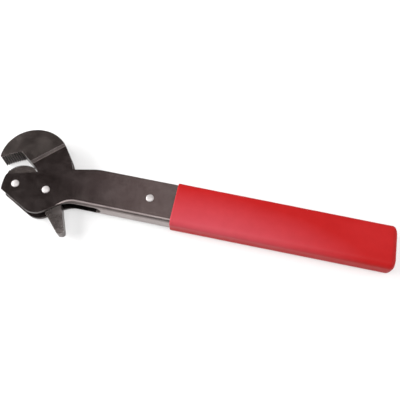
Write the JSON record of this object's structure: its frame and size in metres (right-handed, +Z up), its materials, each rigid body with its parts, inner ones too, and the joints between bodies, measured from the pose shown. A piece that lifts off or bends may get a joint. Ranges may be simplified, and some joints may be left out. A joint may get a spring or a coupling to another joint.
{
  "type": "self-adjusting grip wrench",
  "caption": "Steel wrench with a fixed toothed hook jaw, a sprung toothed cam jaw worked by a finger trigger, and a vinyl-covered channel handle.",
  "frame": {"origin": "middle of the tool's footprint, on the surface that it lies on", "axes": "+X along the handle from the jaws to the closed end of the grip, +Y from the trigger's side to the hook's side, +Z up through the thickness"},
  "size_m": [0.2987, 0.077, 0.0174],
  "materials": {
    "blackened_sheet": "black oxide, satin",
    "blackened_jaw": "black oxide, satin",
    "blackened_lever": "black oxide, worn",
    "bright_rivet": "bright zinc",
    "plain_steel": "ground, oiled",
    "spring_steel": "drawn wire, oiled",
    "red_vinyl": "glossy dipped vinyl"
  },
  "bodies": {
    "frame": {"handle_channel": "blackened_sheet", "hook_jaw": "blackened_jaw", "front_rivet": "bright_rivet", "pivot_rivet": "bright_rivet", "rear_rivet": "bright_rivet", "front_stop_sleeve": "plain_steel", "pivot_bush": "plain_steel", "rear_spring_sleeve": "plain_steel", "return_spring": "spring_steel", "vinyl_grip": "red_vinyl"},
    "cam_lever": {"cam_jaw": "blackened_jaw", "trigger_lever": "blackened_lever", "trigger_pins": "bright_rivet"}
  },
  "joints": [
    {"name": "cam_pivot", "type": "hinge", "parent": "frame", "child": "cam_lever", "pos_m": [-0.10745, -0.00859, 0.0087], "axis": [0, 0, 1], "range_deg": [0, 14], "stiffness_Nm_per_rad": 0.22, "springref_deg": -28.65, "deforming": ["return_spring"]}
  ]
}
